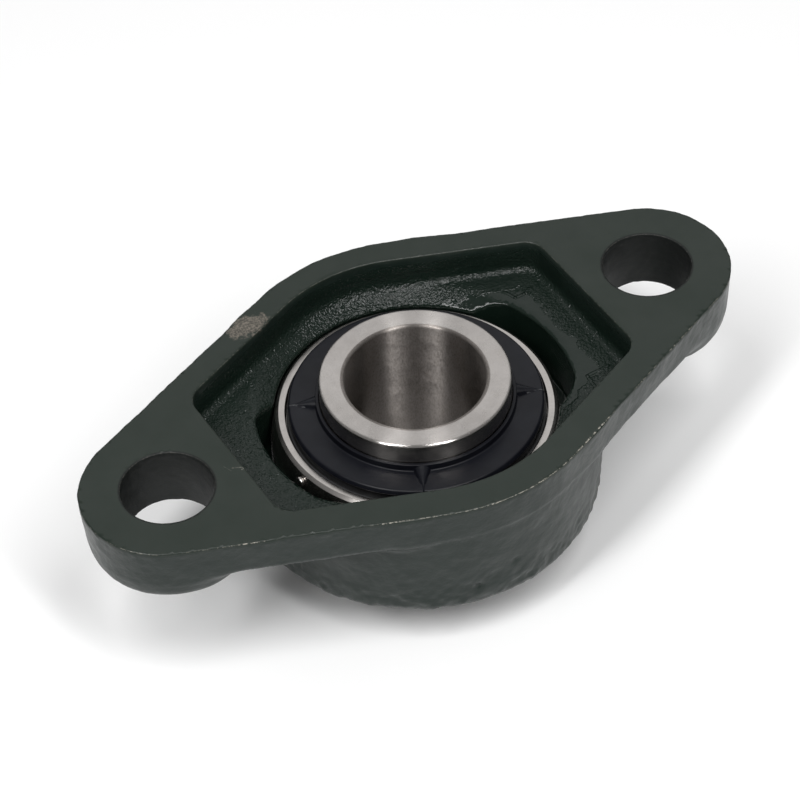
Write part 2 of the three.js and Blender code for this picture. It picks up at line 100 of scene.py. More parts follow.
OUTER_R = 26.0
OUTER_HALF = (RING_HIGH[2] - RING_LOW[2]) / 2
COUNTERBORE_R = 23.25
OUTER_LAND_R = 22.0
INNER_R = 17.0
BORE_R = 12.5
PITCH_R = 19.5
BALL_R = 3.969
BALL_COUNT = 9
GROOVE_R = 4.15
BALL_PLAY = 0.15
SCREWS = (1, 2)
SCREW_HEIGHT = 5.0
SLINGER_OUT = 22.75
SLINGER_DISC = 9.7
SLINGER_COLLAR = 11.0
COLLAR_R = 17.75
RIB_ANGLE = 61.5
RIB_END = 21.7
RIB_HALF = 1.45
RIB_HEIGHT = 1.2
SHEET = 0.65
PIN_DIRECTION = Vector(JOINTS["align_roll"]["axis"])
GREASE_DIRECTION = Vector((0, math.cos(math.radians(11.9)), -math.sin(math.radians(11.9))))
NIPPLE_SEAT = Vector((0, 29.4, FACE - 23.7))
NIPPLE_AXIS = -Vector(JOINTS["nipple_check_travel"]["axis"])
NIPPLE_FACE_R = 4.6                                  # spot face and tapped hole in the hub
NIPPLE_HOLE_R = 2.65
NIPPLE_HOLE_DEPTH = 3.15
CHECK_BALL_R = 1.05
CHECK_BALL_HEIGHT = 4.75                             # along the nipple's axis, from its seat
# a worn patch on the mounting face, its place and half sizes, and scratches between two [x, y] places
SCUFF = ((-18.7, 26.4, FACE), (5.0, 3.2, 3.0))
SCRATCHES = (
    ((-39.0, -1.2), (-38.4, -2.8)),
    ((-38.0, -2.2), (-35.6, -3.4)),
    ((-36.8, -3.4), (-35.2, -3.2)),
)
# marks of the sand core on the recess floor, each a line between two [x, y] places
FLOOR_CREASES = (
    ((28.1, -12.3), (32.6, -12.2)),
    ((28.1, -12.3), (27.7, -15.4)),
    ((27.7, 13.7), (28.4, 11.4)),
    ((28.4, 11.4), (30.3, 11.4)),
    ((30.3, 11.4), (32.1, 12.1)),
)
# sand pits in the hub's side: place, half width and depth
PITS = (
    ((-0.7, -33.0, FACE - 18.0), 0.7, 0.5),
    ((-7.5, -31.8, FACE - 21.4), 0.6, 0.45),
)


def screw_direction(number):
    return Vector(JOINTS[f"screw_{number}_travel"]["axis"])


# ---- camera, floor and light ----
CAMERA_ANGLES = (-29.82, 45.829, -2.708)             # azimuth, elevation and roll in degrees
CAMERA_TARGET = Vector((-5.732, -4.313, FACE))
CAMERA_DISTANCE = 515.71
CAMERA_LENS = 133.99
SOFTBOX_DISTANCE = 700
KEY_SIZE = (110, 520)
KEY_RADIANCE = 15.0


def make_camera():
    azimuth, elevation, roll = (math.radians(a) for a in CAMERA_ANGLES)
    back = Vector((
        math.sin(azimuth) * math.cos(elevation),
        -math.cos(azimuth) * math.cos(elevation),
        math.sin(elevation),
    ))
    right = (-back).cross(Vector((0, 0, 1))).normalized()
    up = right.cross(-back)
    rolled_right = right * math.cos(roll) + up * math.sin(roll)
    rolled_up = up * math.cos(roll) - right * math.sin(roll)
    turn = Matrix((rolled_right, rolled_up, back)).transposed().to_4x4()
    data = bpy.data.cameras.new("camera")
    data.sensor_width = 36
    data.lens = CAMERA_LENS
    data.clip_start = 0.01
    data.clip_end = 10
    camera = bpy.data.objects.new("camera", data)
    camera.matrix_world = Matrix.Translation((CAMERA_TARGET + back * CAMERA_DISTANCE) * MM) @ turn
    bpy.context.scene.collection.objects.link(camera)
    bpy.context.scene.camera = camera


def area_light(name, place, aim, size, power):
    data = bpy.data.lights.new(name, "AREA")
    data.shape = "RECTANGLE"
    data.size, data.size_y = (s * MM for s in size)
    data.energy = power
    light = bpy.data.objects.new(name, data)
    light.location = Vector(place) * MM
    toward = (Vector(aim) - Vector(place)).normalized()
    light.rotation_euler = toward.to_track_quat("-Z", "Y").to_euler()
    bpy.context.scene.collection.objects.link(light)


def softbox(name, direction, size, radiance):
    """A soft light seen from the part in one direction; size is its width and height."""
    middle = Vector((0, 0, 20))
    area = size[0] * size[1] * MM * MM
    place = middle + Vector(direction).normalized() * SOFTBOX_DISTANCE
    area_light(name, place, middle, size, radiance * math.pi * area)


def make_light():
    world = bpy.data.worlds.new("studio")
    world.use_nodes = True
    background = world.node_tree.nodes["Background"]
    background.inputs["Color"].default_value = (1, 1, 1, 1)
    background.inputs["Strength"].default_value = 0.28
    bpy.context.scene.world = world
    softbox("key_left", (-0.497, -0.183, 0.848), KEY_SIZE, KEY_RADIANCE)
    softbox("key_right", (0.057, -0.527, 0.848), KEY_SIZE, KEY_RADIANCE)
    softbox("back", (0.347, 0.605, 0.717), (900, 600), 0.65)
    bpy.context.scene.view_settings.view_transform = "Standard"


def make_floor():
    half = 3.0
    mesh = bpy.data.meshes.new("floor")
    corners = [(-half, -half, 0), (half, -half, 0), (half, half, 0), (-half, half, 0)]
    mesh.from_pydata(corners, [], [(0, 1, 2, 3)])
    floor = bpy.data.objects.new("floor", mesh)
    bpy.context.scene.collection.objects.link(floor)
    material = bpy.data.materials.new("floor")
    material.use_nodes = True
    shader = material.node_tree.nodes["Principled BSDF"]
    shader.inputs["Base Color"].default_value = (0.93, 0.93, 0.93, 1)
    shader.inputs["Roughness"].default_value = 0.9
    shader.inputs["Specular IOR Level"].default_value = 0.1
    mesh.materials.append(material)


# ---- node helper ----
class Nodes:
    """Builds a material's nodes; every method returns an output socket."""

    def __init__(self, name):
        self.material = bpy.data.materials.new(name)
        self.material.use_nodes = True
        self.tree = self.material.node_tree
        self.shader = self.tree.nodes["Principled BSDF"]
        place = self.tree.nodes.new("ShaderNodeTexCoord")
        self.place = self.scale(place.outputs["Object"], 1 / MM)

    def feed(self, socket, value):
        if isinstance(value, bpy.types.NodeSocket):
            self.tree.links.new(value, socket)
        elif socket.type == "RGBA" and len(value) == 3:
            socket.default_value = (*value, 1)
        else:
            socket.default_value = value

    def vector(self, operation, a, b=(0, 0, 0)):
        """A calculation with vectors; a length, distance or dot product comes out as a number."""
        node = self.tree.nodes.new("ShaderNodeVectorMath")
        node.operation = operation
        self.feed(node.inputs[0], a)
        self.feed(node.inputs[1], b)
        number = operation in ("LENGTH", "DISTANCE", "DOT_PRODUCT")
        return node.outputs["Value" if number else "Vector"]

    def scale(self, vector, factor):
        factors = factor if isinstance(factor, tuple) else (factor,) * 3
        return self.vector("MULTIPLY", vector, factors)

    def math(self, operation, a, b=0.0, clamp=False):
        node = self.tree.nodes.new("ShaderNodeMath")
        node.operation = operation
        node.use_clamp = clamp
        self.feed(node.inputs[0], a)
        self.feed(node.inputs[1], b)
        return node.outputs[0]

    def times(self, first, *others):
        for other in others:
            first = self.math("MULTIPLY", first, other)
        return first

    def plus(self, a, b):
        return self.math("ADD", a, b)

    def noise(self, size, detail=3.0, roughness=0.55, stretch=(1, 1, 1), offset=0.0, place=None):
        """Noise with features about size millimetres across."""
        node = self.tree.nodes.new("ShaderNodeTexNoise")
        node.noise_dimensions = "4D"
        node.inputs["W"].default_value = offset
        node.inputs["Scale"].default_value = 1 / size
        node.inputs["Detail"].default_value = detail
        node.inputs["Roughness"].default_value = roughness
        if place is None:
            place = self.scale(self.place, stretch)
        self.feed(node.inputs["Vector"], place)
        return node.outputs["Fac"]

    def cells(self, size, offset=0.0):
        node = self.tree.nodes.new("ShaderNodeTexVoronoi")
        node.voronoi_dimensions = "4D"
        node.inputs["W"].default_value = offset
        node.inputs["Scale"].default_value = 1 / size
        self.feed(node.inputs["Vector"], self.place)
        return node.outputs["Distance"]

    def attribute(self, name):
        node = self.tree.nodes.new("ShaderNodeAttribute")
        node.attribute_name = name
        return node.outputs["Fac"]

    def ramp(self, value, low, high, out_low=0.0, out_high=1.0):
        """Maps low..high to out_low..out_high with a smooth step; low may be above high."""
        node = self.tree.nodes.new("ShaderNodeMapRange")
        node.interpolation_type = "SMOOTHSTEP"
        if low > high:
            low, high, out_low, out_high = high, low, out_high, out_low
        self.feed(node.inputs["Value"], value)
        limits = {"From Min": low, "From Max": high, "To Min": out_low, "To Max": out_high}
        for name, number in limits.items():
            node.inputs[name].default_value = number
        return node.outputs["Result"]

    def mix(self, factor, a, b):
        """Mixes two colours."""
        node = self.tree.nodes.new("ShaderNodeMix")
        node.data_type = "RGBA"
        self.feed(node.inputs["Factor"], factor)
        self.feed(node.inputs["A"], a)
        self.feed(node.inputs["B"], b)
        return node.outputs["Result"]

    def bump(self, height, depth, before=None):
        """Bump from a 0..1 height that stands for depth millimetres."""
        node = self.tree.nodes.new("ShaderNodeBump")
        node.inputs["Strength"].default_value = 1.0
        node.inputs["Distance"].default_value = depth * MM
        self.feed(node.inputs["Height"], height)
        if before is not None:
            self.feed(node.inputs["Normal"], before)
        return node.outputs["Normal"]

    def radius(self):
        """Distance from the shaft axis, in millimetres."""
        return self.vector("LENGTH", self.scale(self.place, (1, 1, 0)))

    def distance(self, place, size):
        """Distance from a place, in units of an ellipsoid's half sizes."""
        shift = self.vector("SUBTRACT", self.place, place)
        return self.vector("LENGTH", self.scale(shift, tuple(1 / s for s in size)))

    def from_line(self, start, end):
        """Distance from a line between two [x, y] places, in millimetres."""
        run = Vector((*end, 0)) - Vector((*start, 0))
        offset = self.vector("SUBTRACT", self.scale(self.place, (1, 1, 0)), (*start, 0))
        along = self.vector("DOT_PRODUCT", offset, tuple(run / run.length_squared))
        along = self.math("ADD", along, 0.0, clamp=True)
        return self.vector("DISTANCE", offset, self.scale(along, tuple(run)))

    def axis(self, letter):
        node = self.tree.nodes.new("ShaderNodeSeparateXYZ")
        self.feed(node.inputs[0], self.place)
        return node.outputs[letter]

    def around_axis(self):
        """Tangents that follow the turning marks round Z."""
        node = self.tree.nodes.new("ShaderNodeTangent")
        node.direction_type = "RADIAL"
        node.axis = "Z"
        return node.outputs["Tangent"]

    def turning(self, pitch):
        """Fine marks that run round the Z axis; pitch is their rough spacing in millimetres."""
        join = self.tree.nodes.new("ShaderNodeCombineXYZ")
        self.feed(join.inputs["X"], self.radius())
        self.feed(join.inputs["Z"], self.axis("Z"))
        return self.noise(pitch, 2, 0.5, place=join.outputs[0])

    def finish(self, **values):
        for name, value in values.items():
            self.feed(self.shader.inputs[name.replace("_", " ")], value)
        return self.material


# ---- materials ----
class PaintMasks:
    """Where the housing's paint, its painted shade and its relief change: values from 0 to 1, and distances
    in millimetres.
    """

    def __init__(self, n):
        self.depth = n.math("SUBTRACT", FACE, n.axis("Z"))
        self.outline = n.attribute("outline")
        self.recess = n.attribute("recess")
        self.hole = n.attribute("bolt_hole")
        self.on_face = n.ramp(self.depth, 0.9, 0.15)
        self.hole_wall_shade = n.ramp(self.hole, 0.6, 0.2)
        above_web = n.ramp(self.depth, WEB_DEPTH - 0.2, WEB_DEPTH - 0.6)
        inside_hub = n.math("MAXIMUM", above_web, n.ramp(n.radius(), 30.5, 29.5))
        in_recess = n.times(n.ramp(self.recess, 0.2, -0.4), n.ramp(self.depth, 0.5, 2.0))
        self.in_recess = n.times(in_recess, inside_hub)


def enamel_colour(n, masks):
    """Dark green with a little dust in the skin; painted shade makes the sides darker than the face, the
    recess darker still, and the bolt hole walls near black.
    """
    mottle = n.ramp(n.noise(11, 4, 0.6), 0.3, 0.7)
    face = n.mix(mottle, (0.0120, 0.0185, 0.0138), (0.0158, 0.0222, 0.0175))
    # painted shade: the sides are painted a darker green than the face, and the recess darker still
    sides = n.mix(mottle, (0.0080, 0.0145, 0.0115), (0.0110, 0.0180, 0.0148))
    recess = n.mix(mottle, (0.0045, 0.0100, 0.0070), (0.0070, 0.0130, 0.0095))
    paint = n.mix(masks.in_recess, n.mix(masks.on_face, sides, face), recess)
    dust = n.times(n.ramp(n.noise(0.5, 3, 0.7, offset=3), 0.68, 0.78), 0.30)
    paint = n.mix(dust, paint, (0.055, 0.06, 0.052))
    # painted shade: the bolt hole walls are painted near black
    return n.mix(masks.hole_wall_shade, paint, (0.006, 0.0075, 0.0068))


def edge_wear(n, masks):
    """Chips along the mounting face's edges, most of them on the outline's -Y side."""
    def closeness(distance, low, high):
        squares = n.plus(n.times(distance, distance), n.times(masks.depth, masks.depth))
        return n.ramp(n.math("SQRT", squares), high, low)

    chips = n.ramp(n.noise(0.40, 4, 0.75, offset=9), 0.48, 0.56)
    patches = n.ramp(n.noise(14, 2, 0.5, offset=12), 0.22, 0.46)
    near_side = n.ramp(n.axis("Y"), 6.0, -6.0, 0.10, 1.0)
    outer_wear = n.times(closeness(masks.outline, 0.04, 0.19), n.times(chips, near_side))
    inner_edge = n.math("MINIMUM", n.math("ABSOLUTE", masks.recess), n.math("ABSOLUTE", masks.hole))
    inner_wear = n.times(closeness(inner_edge, 0.04, 0.18), n.times(chips, 0.6))
    return n.times(n.math("MAXIMUM", outer_wear, inner_wear), patches)


def worn_colour(n, masks, paint):
    """The enamel with its scuff, scratches and chipped edges."""
    ragged = n.noise(2.2, 6, 0.75, offset=21)
    patch = n.plus(n.distance(*SCUFF), n.times(ragged, 2.2))
    patch = n.times(n.ramp(patch, 1.95, 1.65), masks.on_face)
    grit = n.ramp(n.noise(0.35, 3, 0.7, offset=22), 0.35, 0.7)
    paint = n.mix(patch, paint, n.mix(grit, (0.045, 0.042, 0.034), (0.17, 0.150, 0.125)))
    wear = edge_wear(n, masks)
    for start, end in SCRATCHES:
        line = n.plus(n.from_line(start, end), n.times(ragged, 0.8))
        scratch = n.times(n.ramp(line, 0.46, 0.34), n.times(masks.on_face, 0.5))
        wear = n.math("MAXIMUM", wear, scratch)
    return n.mix(wear, paint, (0.33, 0.31, 0.27))


def enamel_relief(n, masks):
    """Lumps on the sides; pebbles, brush creases and core marks in the recess."""
    plateau = n.plus(masks.recess, n.times(n.noise(2.6, 3, 0.6, offset=14), 5.0))
    plateau = n.times(n.ramp(plateau, -2.2, -3.0), n.ramp(n.axis("X"), 2.0, 9.0))
    rough = n.times(masks.in_recess, n.ramp(plateau, 0.0, 1.0, 1.0, 0.12))
    lumps = n.times(n.noise(1.5, 3, 0.6), n.ramp(masks.in_recess, 0.0, 1.0, 1.0, 0.45))
    pebbles = n.times(n.noise(0.40, 1, 0.5, offset=5), rough)
    creases = n.math("ABSOLUTE", n.math("SUBTRACT", n.noise(1.3, 2, 0.5, offset=15), 0.5))
    creases = n.times(n.ramp(creases, 0.0, 0.12), rough)
    normal = n.bump(n.times(lumps, n.ramp(masks.on_face, 1.0, 0.0)), 0.10)
    normal = n.bump(creases, 0.02, normal)
    normal = n.bump(pebbles, 0.26, normal)
    for start, end in FLOOR_CREASES:
        line = n.plus(n.from_line(start, end), n.times(lumps, 0.5))
        line = n.times(n.ramp(line, 0.50, 0.28), masks.in_recess)
        normal = n.bump(line, 0.12, normal)
    return n.bump(n.noise(0.30, 2, 0.5, offset=6), 0.008, normal)


def housing_paint():
    n = Nodes("housing_paint")
    masks = PaintMasks(n)
    colour = worn_colour(n, masks, enamel_colour(n, masks))
    roughness = n.ramp(n.noise(5, 4, 0.6, offset=7), 0.3, 0.7, 0.32, 0.44)
    roughness = n.times(roughness, n.ramp(masks.in_recess, 0.0, 1.0, 1.0, 0.32))
    roughness = n.plus(roughness, n.ramp(masks.hole, 0.6, 0.2, 0.0, 0.2))
    normal = enamel_relief(n, masks)
    return n.finish(Base_Color=colour, Roughness=roughness, Normal=normal, Specular_IOR_Level=0.31)


def ground_steel(name, anisotropic, rough):
    n = Nodes(name)
    bore = n.ramp(n.radius(), BORE_R + 0.8, BORE_R + 0.5)
    tone = n.ramp(n.noise(4, 4, 0.6), 0.3, 0.7)
    colour = n.mix(tone, (0.470, 0.445, 0.425), (0.520, 0.495, 0.475))
    streak = n.ramp(n.noise(0.24, 3, 0.7, stretch=(1, 1, 0.4), offset=11), 0.42, 0.66)
    streak = n.times(streak, n.ramp(bore, 0.0, 1.0, 0.12, 0.60))
    # painted shade: the bore is painted darker than the ring's faces and sides
    colour = n.mix(bore, colour, (0.27, 0.248, 0.232))
    colour = n.mix(streak, colour, (0.16, 0.14, 0.125))
    pit = n.ramp(n.cells(3.4, 2), 0.062, 0.040)
    pit = n.times(pit, n.ramp(n.noise(7, 2, 0.5, offset=4), 0.55, 0.58))
    colour = n.mix(pit, colour, (0.02, 0.018, 0.016))
    side = n.ramp(n.radius(), INNER_R - 0.3, INNER_R - 0.1)
    normal = n.bump(n.turning(0.35), 0.002)
    normal = n.bump(n.noise(2.2, 1, 0.5, offset=1), 0.003, normal)
    normal = n.bump(pit, -0.08, normal)
    roughness = n.ramp(n.noise(2.4, 2, 0.5, offset=8), 0.3, 0.7, rough, rough + 0.06)
    grain = n.ramp(n.noise(0.3, 3, 0.7, stretch=(1, 1, 0.5), offset=9), 0.3, 0.7, 0.08, 0.20)
    roughness = n.plus(roughness, n.times(bore, grain))
    roughness = n.times(roughness, n.ramp(side, 0.0, 1.0, 1.0, 0.75))
    n.feed(n.shader.inputs["Tangent"], n.around_axis())
    return n.finish(
        Base_Color=colour, Roughness=roughness, Metallic=1.0, Normal=normal,
        Anisotropic=anisotropic, Anisotropic_Rotation=0.25,
    )


def slinger_coat():
    n = Nodes("slinger_coat")
    tone = n.ramp(n.noise(6, 4, 0.6), 0.35, 0.7)
    colour = n.mix(tone, (0.0034, 0.0038, 0.0062), (0.0052, 0.0058, 0.0088))
    speck = n.ramp(n.cells(1.7, 6), 0.07, 0.04)
    colour = n.mix(speck, colour, (0.03, 0.03, 0.033))
    normal = n.bump(n.noise(0.5, 3, 0.6), 0.008)
    roughness = n.ramp(n.noise(2.5, 3, 0.6, offset=2), 0.3, 0.7, 0.31, 0.42)
    return n.finish(Base_Color=colour, Roughness=roughness, Normal=normal, Specular_IOR_Level=0.23)


def pressed_steel():
    n = Nodes("pressed_steel")
    colour = n.mix(n.ramp(n.noise(3, 4, 0.6), 0.35, 0.7), (0.36, 0.35, 0.33), (0.47, 0.46, 0.44))
    normal = n.bump(n.noise(0.4, 3, 0.6, stretch=(1, 1, 3)), 0.008)
    roughness = n.ramp(n.noise(1.2, 3, 0.6, offset=2), 0.3, 0.7, 0.32, 0.46)
    return n.finish(Base_Color=colour, Roughness=roughness, Metallic=1.0, Normal=normal)


def seal_rubber():
    n = Nodes("seal_rubber")
    colour = n.mix(n.ramp(n.noise(2, 3, 0.6), 0.3, 0.7), (0.012, 0.012, 0.012), (0.02, 0.02, 0.021))
    normal = n.bump(n.noise(0.35, 3, 0.6), 0.01)
    roughness = n.ramp(n.noise(1.5, 3, 0.6, offset=2), 0.3, 0.7, 0.6, 0.75)
    return n.finish(Base_Color=colour, Roughness=roughness, Normal=normal)


def screw_steel():
    n = Nodes("screw_steel")
    colour = n.mix(n.ramp(n.noise(1.2, 3, 0.6), 0.3, 0.7), (0.022, 0.022, 0.024), (0.045, 0.043, 0.042))
    normal = n.bump(n.noise(0.2, 3, 0.6), 0.005)
    roughness = n.ramp(n.noise(0.7, 3, 0.6, offset=2), 0.3, 0.7, 0.35, 0.5)
    return n.finish(Base_Color=colour, Roughness=roughness, Metallic=0.8, Normal=normal)


def nipple_plate():
    n = Nodes("nipple_plate")
    colour = n.mix(n.ramp(n.noise(1.8, 4, 0.6), 0.3, 0.7), (0.50, 0.42, 0.22), (0.60, 0.55, 0.38))
    normal = n.bump(n.noise(0.25, 3, 0.6), 0.005)
    roughness = n.ramp(n.noise(0.9, 3, 0.6, offset=2), 0.3, 0.7, 0.24, 0.36)
    return n.finish(Base_Color=colour, Roughness=roughness, Metallic=1.0, Normal=normal)


# ---- noise and distance fields, for the cast housing ----
def lattice(ix, iy, iz, seed):
    """A repeatable value from -1 to 1 for each whole-number point."""
    h = (ix * 73856093) ^ (iy * 19349663) ^ (iz * 83492791) ^ (seed * 2654435761)
    h = (h ^ (h >> 13)) & 0xFFFFFFFF
    h = (h * 1274126177) & 0xFFFFFFFF
    h = (h ^ (h >> 16)) & 0xFFFF
    return h / 32767.5 - 1


def field_noise(points, size, seed):
    """Smooth noise from -1 to 1 with features about size millimetres across."""
    scaled = points / size + 1000
    cell = np.floor(scaled).astype(np.int64)
    t = scaled - cell
    t = t * t * t * (t * (t * 6 - 15) + 10)
    total = 0
    for corner in range(8):
        dx, dy, dz = corner & 1, (corner >> 1) & 1, corner >> 2
        weight = (
            (t[:, 0] if dx else 1 - t[:, 0])
            * (t[:, 1] if dy else 1 - t[:, 1])
            * (t[:, 2] if dz else 1 - t[:, 2])
        )
        total = total + weight * lattice(cell[:, 0] + dx, cell[:, 1] + dy, cell[:, 2] + dz, seed)
    return total


def smooth_step(value, low, high):
    t = np.clip((value - low) / (high - low), 0, 1)
    return t * t * (3 - 2 * t)


def both(a, b, radius):
    """Where both fields are inside, with the edge between them rounded."""
    a, b = a + radius, b + radius
    return np.minimum(np.maximum(a, b), 0) + np.hypot(np.maximum(a, 0), np.maximum(b, 0)) - radius


def either(a, b, radius):
    """Where either field is inside, with a fillet between them."""
    return -both(-a, -b, radius)


def cut(a, b, radius):
    """Field a without field b, with the new edge rounded."""
    return both(a, -b, radius)


def flange_outline(x, y, hub, tip):
    """Distance to the outline of a hub circle joined to the two tip circles by straight sides."""
    x, y = np.abs(x), np.abs(y)
    slope = (hub - tip) / BOLT_X
    level = math.sqrt(1 - slope * slope)
    side = x * level - y * slope
    distance = np.where(side < 0, np.hypot(x, y) - hub, y * level + x * slope - hub)
    return np.where(side > level * BOLT_X, np.hypot(x - BOLT_X, y) - tip, distance)


def recess_outline(x, y):
    y = y - CORE_SHIFT
    sides = flange_outline(x, y, RECESS_R, RECESS_R - HUB_R + TIP_R)
    return both(sides, np.abs(x) - RECESS_X, 2.5)


def bolt_distance(x, y):
    """Distance from the nearer bolt hole's axis."""
    return np.hypot(np.abs(x) - BOLT_X, y)


def flange_body(p):
    """The plate, its two bolt pads and the hub, before anything is cut out."""
    x, y, z = p.T
    depth = FACE - z
    draft = depth * DRAFT
    side = flange_outline(x, y, HUB_R, TIP_R) + draft
    pad = both(bolt_distance(x, y) - PAD_R, depth - PAD_DEPTH, 2.2)
    under = either(depth - WEB_DEPTH, pad, 3.0)
    plate = both(under, side, 1.1)
    hub = both(np.hypot(x, y) - (HUB_R - 0.1 - draft), depth - HUB_DEPTH, 2.5)
    fillet = 0.3 + 2.2 * smooth_step(np.abs(x), 13, 21)
    return both(either(plate, hub, fillet), -depth, 0.3)


def with_recess(body, p):
    """Cuts the recess, and the slope that leads into the seat."""
    x, y, z = p.T
    depth = FACE - z
    walls = recess_outline(x, y) + depth * RECESS_DRAFT
    body = cut(body, both(walls, depth - RECESS_DEPTH, 1.3), 0.3)
    reach = ENTRY_R + (ENTRY_DEPTH - depth) * ENTRY_FLARE
    entry = (np.hypot(x, y) - reach) / math.hypot(1, ENTRY_FLARE)
    entry = both(entry, walls, 1.3)
    return cut(body, np.maximum(entry, 4.0 - depth), 0.6)


def with_seat(body, p):
    """Cuts the spherical seat, and the front bore with its chamfer."""
    x, y, z = p.T
    r = np.hypot(x, y)
    sphere = np.sqrt(r * r + (z - MIDDLE) ** 2) - SEAT_R
    front = np.maximum(r - FRONT_BORE_R, z - MIDDLE)
    chamfer = (r - (FRONT_BORE_R + FRONT_CHAMFER - (z - FACE + HUB_DEPTH))) / math.sqrt(2)
    chamfer = np.maximum(chamfer, z - MIDDLE)
    top = SEAT_TOP_DEPTH - (FACE - z)
    bore = np.minimum(np.maximum(sphere, top), np.minimum(front, chamfer))
    return cut(body, bore, 0.25)


def with_slots(body, p):
    """Cuts the two slots that the insert is loaded through."""
    x, y, z = p.T
    side = (np.abs(y) + SLOT_TAPER * np.abs(x) - SLOT_HALF) / math.hypot(1, SLOT_TAPER)
    slot = np.maximum(both(np.hypot(x, y) - SLOT_R, side, 1.6), FACE - z - SLOT_DEPTH)
    return cut(body, slot, 0.35)


def with_bolt_holes(body, p):
    x, y, _ = p.T
    return cut(body, bolt_distance(x, y) - BOLT_HOLE_R, 0.3)


def with_nipple_hole(body, p):
    offset = p - np.array(NIPPLE_SEAT)
    along = offset @ np.array(NIPPLE_AXIS)
    away = np.sqrt(np.maximum((offset * offset).sum(1) - along * along, 0))
    body = cut(body, np.maximum(away - NIPPLE_FACE_R, -along), 0.3)
    return np.maximum(body, -np.maximum(away - NIPPLE_HOLE_R, -NIPPLE_HOLE_DEPTH - along))


def housing_shape(p):
    """Distance to the housing's surface without its casting texture."""
    body = flange_body(p)
    for machined in (with_recess, with_seat, with_slots, with_bolt_holes, with_nipple_hole):
        body = machined(body, p)
    return body


def casting_texture(p):
    """Height of the sand-cast skin above the true shape."""
    x, y, z = p.T
    depth = FACE - z
    in_recess = smooth_step(-recess_outline(x, y), -0.2, 0.8) * smooth_step(depth, 1.0, 2.6)
    above_web = smooth_step(WEB_DEPTH - depth, 0.2, 0.6)
    inside_hub = np.maximum(above_web, smooth_step(-np.hypot(x, y), -30.5, -29.5))
    in_recess = in_recess * inside_hub * smooth_step(HUB_DEPTH - depth, 8, 10)
    on_side = smooth_step(flange_outline(x, y, HUB_R, TIP_R), -0.35, -0.1)
    off_face = np.maximum(smooth_step(depth, 0.1, 0.9), on_side)
    wave = field_noise(p, 5.5, 1) * 0.10
    lumps = field_noise(p, 2.3, 2) * 0.055
    pebbles = field_noise(p, 1.15, 3)
    ragged = field_noise(p, 0.9, 7) * 0.04 * (1 - smooth_step(depth, 0.6, 3.0))
    crust = (field_noise(p, 1.7, 8) * 0.13 + pebbles * 0.09) * smooth_step(depth, 16, 24)
    sides = (wave + lumps + 0.03 * pebbles + ragged + crust) * off_face
    for place, width, deep in PITS:
        sides = sides - deep * np.exp(-((p - np.array(place)) ** 2).sum(1) / width ** 2)
    inner = 0.05 * wave + 0.022 * field_noise(p, 2.0, 4) + 0.015 * pebbles
    seat = smooth_step(np.hypot(x, y), 26.6, 27.4)
    return sides * (1 - in_recess) * np.where(depth > 9, np.maximum(seat, 0.1), 1) + inner * in_recess


def housing_field(p):
    shape = housing_shape(p)
    near = np.abs(shape) < 2
    shape[near] -= casting_texture(p[near])
    return shape


def gradient(field, p, reach=0.05):
    """The field's slope at each point."""
    slopes = []
    for axis in range(3):
        step = np.zeros(3)
        step[axis] = reach
        slopes.append((field(p + step) - field(p - step)) / (2 * reach))
    return np.stack(slopes, 1)


def drawn_on(field, points, reach, rounds=4):
    """Moves points onto the field's zero surface."""
    for _ in range(rounds):
        slope = gradient(field, points)
        length = np.maximum((slope * slope).sum(1), 0.25)
        shift = slope * (field(points) / length)[:, None]
        points = points - np.clip(shift, -reach, reach)
    return points


def sampled(field, axes):
    values = np.empty([len(axis) for axis in axes])
    yy, zz = np.meshgrid(axes[1], axes[2], indexing="ij")
    for i, x in enumerate(axes[0]):
        layer = np.stack([np.full(yy.size, x), yy.ravel(), zz.ravel()], 1)
        values[i] = field(layer).reshape(yy.shape)
    return values


def crossings_along(axis, field, values, low, step):
    """Where the surface crosses the grid lines along one axis.

    Gives the four cells round each crossing, its place, its slope and whether its quad is flipped.
    """
    inside = values < 0
    ahead = np.eye(3, dtype=int)[axis]
    near = tuple(slice(0, -1) if o == axis else slice(None) for o in range(3))
    far = tuple(slice(1, None) if o == axis else slice(None) for o in range(3))
    at = np.argwhere(inside[near] != inside[far])
    a, b = values[tuple(at.T)], values[tuple((at + ahead).T)]
    place = low + step * (at + ahead * (a / (a - b))[:, None])
    slope = gradient(field, place)
    slope /= np.maximum(np.linalg.norm(slope, axis=1, keepdims=True), 1e-6)
    others = [o for o in range(3) if o != axis]
    cells = []
    for back_one, back_two in ((0, 0), (1, 0), (1, 1), (0, 1)):
        cell = at.copy()
        cell[:, others[0]] -= back_one
        cell[:, others[1]] -= back_two
        cells.append(cell)
    return cells, place, slope, inside[tuple(at.T)] == (axis == 1)


def contoured(field, low, high, step):
    """Vertices and quads of the field's zero surface, with a row of vertices along every sharp edge."""
    counts = np.ceil((high - low) / step).astype(int) + 1
    axes = [low[a] + step * np.arange(counts[a]) for a in range(3)]
    values = sampled(field, axes)
    edges = [crossings_along(axis, field, values, low, step) for axis in range(3)]
    middle = np.zeros((*counts, 3))
    crossings = np.zeros(counts, int)
    for cells, place, _, _ in edges:
        for cell in cells:
            np.add.at(middle, tuple(cell.T), place)
            np.add.at(crossings, tuple(cell.T), 1)
    used = crossings > 0
    number = np.full(counts, -1)
    number[used] = np.arange(used.sum())
    middle = middle[used] / crossings[used][:, None]
    pull = np.zeros((len(middle), 3, 3)) + np.eye(3) * 0.05
    push = np.zeros((len(middle), 3))
    quads = []
    for cells, place, slope, flip in edges:
        corners = np.stack([number[tuple(cell.T)] for cell in cells], 1)
        for corner in corners.T:
            offset = ((place - middle[corner]) * slope).sum(1)
            np.add.at(pull, corner, slope[:, :, None] * slope[:, None, :])
            np.add.at(push, corner, slope * offset[:, None])
        quads.append(np.where(flip[:, None], corners[:, ::-1], corners))
    shift = np.linalg.solve(pull, push[:, :, None])[:, :, 0]
    vertices = middle + np.clip(shift, -0.8 * step, 0.8 * step)
    return drawn_on(field, vertices, step), np.concatenate(quads)


